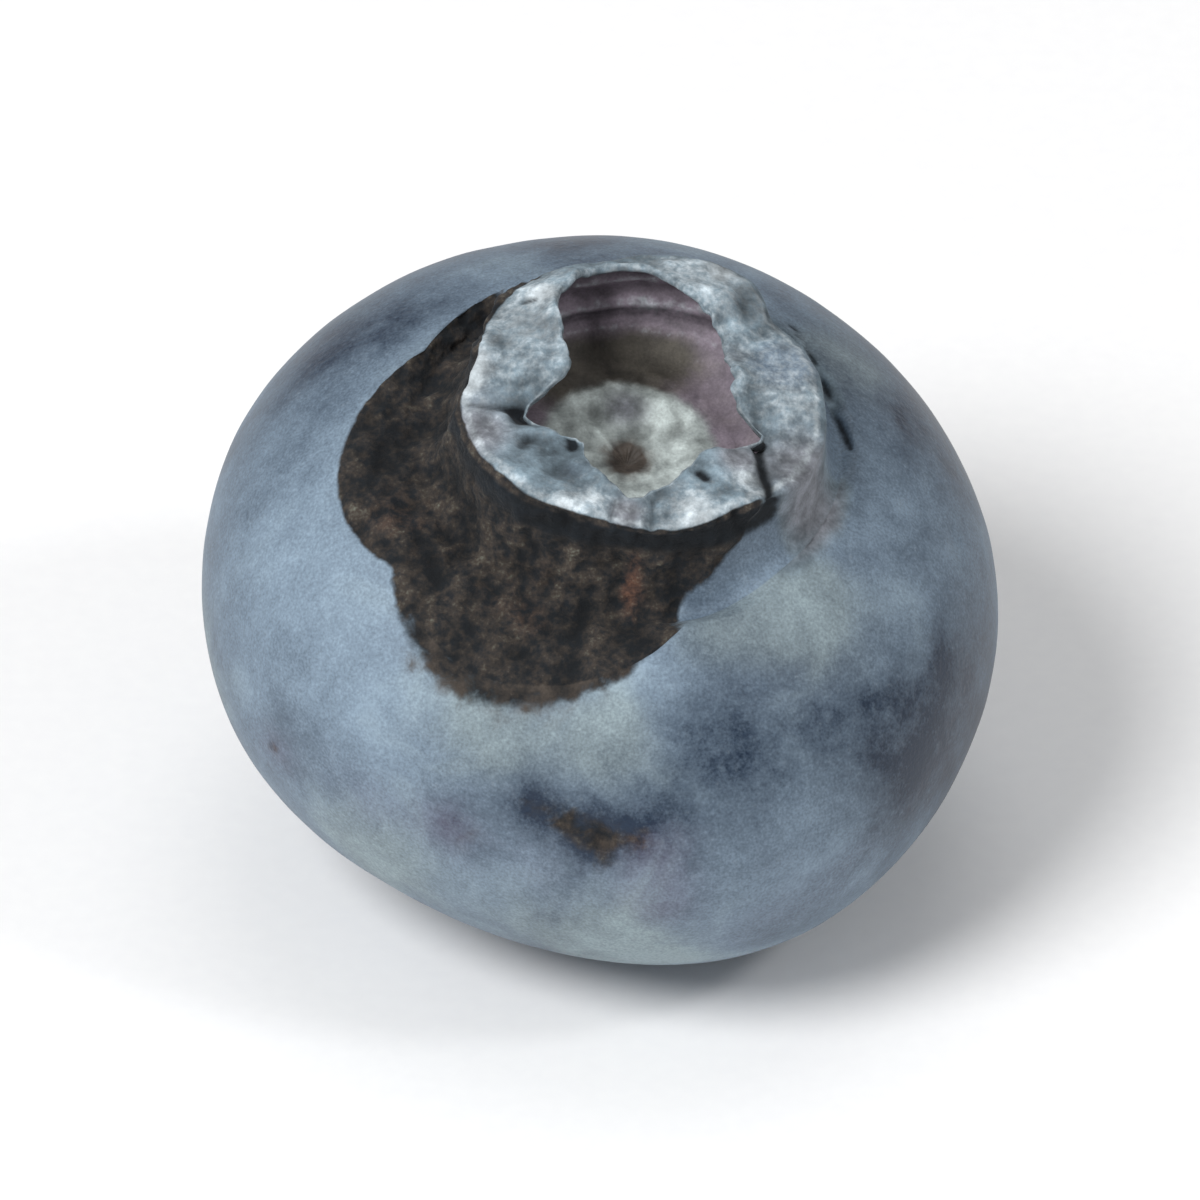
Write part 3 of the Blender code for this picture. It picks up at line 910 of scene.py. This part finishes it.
def spin_fruit(form, sides):
    """The fruit with its axis upright: the profile's chain, spun, then each ring shaped."""
    stations = station_list()
    bm = bmesh.new()
    bm.verts.layers.int.new("station")
    for name in MARKS:
        bm.verts.layers.float.new(name)
    layers = {name: bm.verts.layers.float[name] for name in MARKS}
    station_of = bm.verts.layers.int["station"]
    chain = []
    for index, (zone, share) in enumerate(stations):
        vert = bm.verts.new(form.point(zone, share, 0.0))
        vert[station_of] = index
        chain.append(vert)
    edges = [bm.edges.new(pair) for pair in zip(chain, chain[1:])]
    bmesh.ops.spin(
        bm,
        geom=chain + edges,
        axis=(0.0, 0.0, 1.0),
        cent=(0.0, 0.0, 0.0),
        angle=math.tau,
        steps=sides,
        use_merge=True,
    )
    side = 360.0 / sides
    for vert in bm.verts:
        # The spin's own azimuth, freed of its rounding, so that both ends of the seam agree.
        azimuth = round(math.degrees(math.atan2(vert.co.y, vert.co.x)) / side) * side % 360.0
        zone, share = stations[vert[station_of]]
        vert.co = form.point(zone, share, azimuth)
        for name, value in marks_at(form, zone, share, azimuth, vert.co).items():
            vert[layers[name]] = value
    bmesh.ops.remove_doubles(bm, verts=bm.verts, dist=POINT_GAP)
    bmesh.ops.recalc_face_normals(bm, faces=bm.faces)
    return bm


def rest_on_flat_spot(bm, lean_front, lean_right):
    """Leans the fruit, raises its relief, cuts its flat spot and puts that on z = 0."""
    lean = Euler((lean_front, lean_right, 0.0)).to_matrix()
    bmesh.ops.rotate(bm, verts=bm.verts, cent=(0.0, 0.0, 0.0), matrix=lean)
    floor_height = min(vert.co.z for vert in bm.verts) + REST_FLAT_DEPTH
    across = [[vert.co[axis] for vert in bm.verts] for axis in (0, 1)]
    middle = [(min(values) + max(values)) / 2.0 for values in across]
    relief = bm.verts.layers.float["relief"]
    bm.normal_update()
    raised = [vert.co + vert.normal * vert[relief] for vert in bm.verts]
    for vert, place in zip(bm.verts, raised):
        vert.co = place * DRAW_IN
    cut = bmesh.ops.bisect_plane(
        bm,
        geom=bm.verts[:] + bm.edges[:] + bm.faces[:],
        dist=POINT_GAP,
        plane_co=(0.0, 0.0, floor_height),
        plane_no=(0.0, 0.0, -1.0),
        clear_outer=True,
    )
    rim = [item for item in cut["geom_cut"] if isinstance(item, bmesh.types.BMEdge)]
    bmesh.ops.edgenet_fill(bm, edges=rim)
    bmesh.ops.recalc_face_normals(bm, faces=bm.faces)
    for face in bm.faces:
        face.smooth = True
    for edge in rim:
        edge.smooth = False
    place = Matrix.Translation((-middle[0], -middle[1], -floor_height))
    bmesh.ops.transform(bm, verts=bm.verts, matrix=place)


def add_node(tree, kind, settings, inputs, output=0):
    """Adds a node, sets its settings and inputs (a socket is linked) and returns one output."""
    node = tree.nodes.new(kind)
    for name, value in settings.items():
        setattr(node, name, value)
    for name, value in inputs.items():
        if isinstance(value, bpy.types.NodeSocket):
            tree.links.new(value, node.inputs[name])
        else:
            node.inputs[name].default_value = value
    return node.outputs[output]


def new_material(name):
    material = bpy.data.materials.new(name)
    material.use_nodes = True
    return material, material.node_tree, material.node_tree.nodes["Principled BSDF"]


def bloomed_skin_material(colours):
    """Blueberry skin: a dark, faintly glossy cuticle under a matt powdery wax bloom.

    The bloom scatters blue-grey and lies in clouds, thin where the fruit was rubbed; a few of its
    patches are painted shade, painted bounce light and a painted highlight. The crown is the same
    tissue, drier and pinker; the collar is dead cork, nearly black and quite matt. The tint turns
    skin plum, bowl olive and cork rusty. Highlights and shade are painted on the lobes, the bowl,
    the grooves and the creases, and crests are painted lighter and hollows darker.
    """
    material, tree, shader = new_material("bloomed_blueberry_skin")
    mix, ramp, maths = "ShaderNodeMix", "ShaderNodeMapRange", "ShaderNodeMath"
    rgba, multiply_add = {"data_type": "RGBA"}, {"operation": "MULTIPLY_ADD"}
    multiply, smooth = {"operation": "MULTIPLY"}, {"interpolation_type": "SMOOTHSTEP"}
    colour = {name: (*getattr(colours, name), 1.0) for name in colours.__annotations__}
    place = add_node(tree, "ShaderNodeTexCoord", {}, {}, "Object")
    grains = {}
    for name, (size, detail, roughness, distortion) in GRAINS.items():
        settings = {
            "Vector": place,
            "Scale": 1.0 / size,
            "Detail": detail,
            "Roughness": roughness,
            "Distortion": distortion,
        }
        grains[name] = add_node(tree, "ShaderNodeTexNoise", {}, settings)
    mark = {
        name: add_node(tree, "ShaderNodeAttribute", {"attribute_name": name}, {}, "Fac")
        for name in MARKS
    }
    mask = {}
    for name, (grain_name, fray, soft) in FRAYS.items():
        settings = {0: grains[grain_name], 1: fray, 2: mark[name]}
        frayed = add_node(tree, maths, multiply_add, settings)
        middle = 0.5 + fray / 2.0
        reach = {"Value": frayed, "From Min": middle - soft, "From Max": middle + soft}
        mask[name] = add_node(tree, ramp, smooth, reach)

    # The bloom's cover: its thickness on the fruit, clouded, mottled and powdery.
    cover = mark["bloom"]
    for name, amount in COVER_GRAINS.items():
        centred = add_node(tree, maths, {"operation": "SUBTRACT"}, {0: grains[name], 1: 0.5})
        cover = add_node(tree, maths, multiply_add, {0: centred, 1: amount, 2: cover})
    cover = add_node(tree, ramp, {}, {"Value": cover, "From Min": 0.0, "From Max": 1.0})

    # Each tissue's own colour, and what a mark turns it to.
    tissue = {
        name: add_node(tree, mix, rgba, {0: mask[turned], 6: colour[own], 7: colour[other]}, 2)
        for name, (turned, own, other) in TISSUES.items()
    }
    haze = add_node(tree, maths, multiply_add, {0: grains["cloud"], 1: 0.8, 2: mark["haze"]})
    hazy = add_node(tree, ramp, smooth, {"Value": haze, "From Min": 0.40, "From Max": 0.85})
    wax = add_node(tree, mix, rgba, {0: hazy, 6: colour["bloom"], 7: colour["haze"]}, 2)
    base = add_node(tree, mix, rgba, {0: cover, 6: tissue["bare"], 7: wax}, 2)

    # The cork: black, browner on its crests, with specks of ash on the highest.
    crest = add_node(tree, maths, multiply_add, {0: mark["crest"], 1: 0.18, 2: grains["flake"]})
    crest = add_node(tree, maths, multiply_add, {0: grains["powder"], 1: 1.1, 2: crest})
    brown = add_node(tree, ramp, smooth, {"Value": crest, "From Min": 0.78, "From Max": 1.48})
    cork = add_node(tree, mix, rgba, {0: brown, 6: colour["cork"], 7: tissue["flake"]}, 2)
    crest = add_node(tree, maths, multiply_add, {0: grains["dust"], 1: 0.8, 2: crest})
    specks = add_node(tree, ramp, smooth, {"Value": crest, "From Min": 1.62, "From Max": 2.24})
    cork = add_node(tree, mix, rgba, {0: specks, 6: cork, 7: colour["ash"]}, 2)
    # pale lays painted highlights in the edge colour, and dark lays painted shade in the cork's
    # near-black.
    layers = {
        "calyx": tissue["lobe"],
        "wine": tissue["bowl"],
        "pale": colour["edge"],
        "disc": tissue["disc"],
        "cork": cork,
        "stain": colour["stain"],
        "dark": colour["cork"],
    }
    for name, finish in layers.items():
        base = add_node(tree, mix, rgba, {0: mask[name], 6: base, 7: finish}, 2)

    # Crests are painted paler as if lit and hollows darker with painted shade, fine powder
    # speckles every finish, and the dry crown and the bowl are blotched as well.
    both = add_node(tree, maths, {"operation": "ADD"}, {0: grains["mottle"], 1: grains["flake"]})
    ranges = (
        (mark["crest"], -1.0, 1.0, 0.55, 1.45),
        (grains["dust"], 0.2, 0.8, 0.80, 1.20),
        (both, 0.72, 1.28, 0.60, 1.40),
    )
    tones = []
    for value, low, high, darkest, lightest in ranges:
        span = {"From Min": low, "From Max": high, "To Min": darkest, "To Max": lightest}
        tones.append(add_node(tree, ramp, {}, {"Value": value, **span}))
    crest_light_and_shade, speckle, blotch = tones
    dry = add_node(tree, maths, {"operation": "MAXIMUM"}, {0: mask["calyx"], 1: mask["wine"]})
    blotch = add_node(tree, mix, {}, {0: dry, 2: 1.0, 3: blotch})
    tone = add_node(tree, maths, multiply, {0: crest_light_and_shade, 1: speckle})
    tone = add_node(tree, maths, multiply, {0: tone, 1: blotch})
    scale = {"operation": "SCALE"}
    base = add_node(tree, "ShaderNodeVectorMath", scale, {0: base, "Scale": tone})
    tree.links.new(base, shader.inputs["Base Color"])

    span = {"From Max": 0.9, "To Min": BARE_ROUGHNESS, "To Max": BLOOM_ROUGHNESS}
    rough = add_node(tree, ramp, {}, {"Value": cover, **span})
    for name, value in ROUGHNESS.items():
        rough = add_node(tree, mix, {}, {0: mask[name], 2: rough, 3: value})
    tree.links.new(rough, shader.inputs["Roughness"])
    shader.inputs["IOR"].default_value = 1.45
    shader.inputs["Specular IOR Level"].default_value = 0.4
    shader.inputs["Sheen Weight"].default_value = 0.04
    shader.inputs["Sheen Roughness"].default_value = 0.5

    uneven = {0: grains["mottle"], 1: 1.2, 2: grains["powder"]}
    height = add_node(tree, maths, multiply_add, uneven)
    deep = add_node(tree, maths, multiply_add, {0: mask["cork"], 1: 2.5, 2: 1.0})
    height = add_node(tree, maths, multiply, {0: height, 1: deep})
    settings = {"Height": height, "Strength": 0.6, "Distance": 0.02 * MM}
    bump = add_node(tree, "ShaderNodeBump", {}, settings)
    tree.links.new(bump, shader.inputs["Normal"])
    return material


def floor_material():
    """White card: matt paper, so it shows a soft shadow and no reflection."""
    material, tree, shader = new_material("white_card")
    place = add_node(tree, "ShaderNodeTexCoord", {}, {}, "Object")
    settings = {"Vector": place, "Scale": 1.0 / (0.4 * MM), "Detail": 3.0}
    fibres = add_node(tree, "ShaderNodeTexNoise", {}, settings)
    shades = {0: fibres, 6: (*linear("#f1f1f2"), 1.0), 7: (*linear("#f6f6f6"), 1.0)}
    tint = add_node(tree, "ShaderNodeMix", {"data_type": "RGBA"}, shades, 2)
    tree.links.new(tint, shader.inputs["Base Color"])
    shader.inputs["Roughness"].default_value = 0.9
    shader.inputs["Specular IOR Level"].default_value = 0.2
    return material


def toward(azimuth, elevation, distance):
    """A place at an azimuth from the camera's side, to the right, and at an elevation."""
    turn, rise = math.radians(azimuth), math.radians(elevation)
    return distance * Vector(
        (math.sin(turn) * math.cos(rise), -math.cos(turn) * math.cos(rise), math.sin(rise))
    )


def aim_at(obj, place, target):
    obj.location = place
    obj.rotation_euler = (target - place).to_track_quat("-Z", "Y").to_euler()
    bpy.context.scene.collection.objects.link(obj)


class BLUEBERRY_OT_fruit(bpy.types.Operator):
    """Makes the fruit in one closed piece, with its crown, collar and bloomed skin"""

    bl_idname = "blueberry.fruit"
    bl_label = "Make the fruit"

    def execute(self, context):
        sizes = context.scene.blueberry_sizes
        bm = spin_fruit(FruitForm(sizes), sizes.sides)
        rest_on_flat_spot(bm, sizes.lean_front, sizes.lean_right)
        if not all(edge.is_manifold for edge in bm.edges):
            raise RuntimeError("the fruit isn't closed")
        mesh = bpy.data.meshes.new("blueberry_fruit")
        bm.to_mesh(mesh)
        bm.free()
        mesh.materials.append(bloomed_skin_material(context.scene.blueberry_colours))
        fruit = bpy.data.objects.new("blueberry_fruit", mesh)
        context.scene.collection.objects.link(fruit)
        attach(fruit, "root")
        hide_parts("blueberry")
        return {"FINISHED"}


class BLUEBERRY_OT_stage(bpy.types.Operator):
    """Lays the floor, and sets the soft lamps and the camera"""

    bl_idname = "blueberry.stage"
    bl_label = "Set the stage"

    def execute(self, context):
        bm = bmesh.new()
        bmesh.ops.create_grid(bm, x_segments=1, y_segments=1, size=FLOOR_SIZE / 2.0)
        mesh = bpy.data.meshes.new("floor")
        bm.to_mesh(mesh)
        bm.free()
        mesh.materials.append(floor_material())
        floor = bpy.data.objects.new("floor", mesh)
        context.scene.collection.objects.link(floor)

        aim = Vector((0.0, 0.0, AIM_HEIGHT))
        for name, (azimuth, elevation, distance, width, watts) in LAMPS.items():
            light = bpy.data.lights.new(name, "AREA")
            light.shape = "DISK"
            light.size = width
            light.energy = watts
            lamp = bpy.data.objects.new(name, light)
            aim_at(lamp, aim + toward(azimuth, elevation, distance), aim)

        world = bpy.data.worlds.new("studio")
        world.use_nodes = True
        world.node_tree.nodes["Background"].inputs["Color"].default_value = (1.0, 1.0, 1.0, 1.0)
        world.node_tree.nodes["Background"].inputs["Strength"].default_value = WORLD_STRENGTH
        context.scene.world = world
        context.scene.view_settings.view_transform = "Standard"

        data = bpy.data.cameras.new("camera")
        data.sensor_width = SENSOR_WIDTH
        data.lens = SENSOR_WIDTH * CAMERA_DISTANCE / FRAME_WIDTH
        data.clip_start = 0.01
        camera = bpy.data.objects.new("camera", data)
        aim_at(camera, aim + toward(0.0, CAMERA_ELEVATION, CAMERA_DISTANCE), aim)
        context.scene.camera = camera
        return {"FINISHED"}


class BLUEBERRY_PT_panel(bpy.types.Panel):
    bl_label = "Blueberry"
    bl_space_type = "VIEW_3D"
    bl_region_type = "UI"
    bl_category = "Blueberry"

    def draw(self, context):
        for group in (context.scene.blueberry_sizes, context.scene.blueberry_colours):
            column = self.layout.column(align=True)
            for name in group.__annotations__:
                column.prop(group, name)
        for operator in OPERATORS:
            self.layout.operator(operator.bl_idname)


OPERATORS = (BLUEBERRY_OT_fruit, BLUEBERRY_OT_stage)
CLASSES = (BlueberrySizes, BlueberryColours, *OPERATORS, BLUEBERRY_PT_panel)


def register():
    for item in CLASSES:
        bpy.utils.register_class(item)
    bpy.types.Scene.blueberry_sizes = PointerProperty(type=BlueberrySizes)
    bpy.types.Scene.blueberry_colours = PointerProperty(type=BlueberryColours)


def unregister():
    del bpy.types.Scene.blueberry_colours
    del bpy.types.Scene.blueberry_sizes
    for item in reversed(CLASSES):
        bpy.utils.unregister_class(item)


def main():
    register()
    bpy.ops.blueberry.fruit()
    bpy.ops.blueberry.stage()


if __name__ == "__main__":
    main()
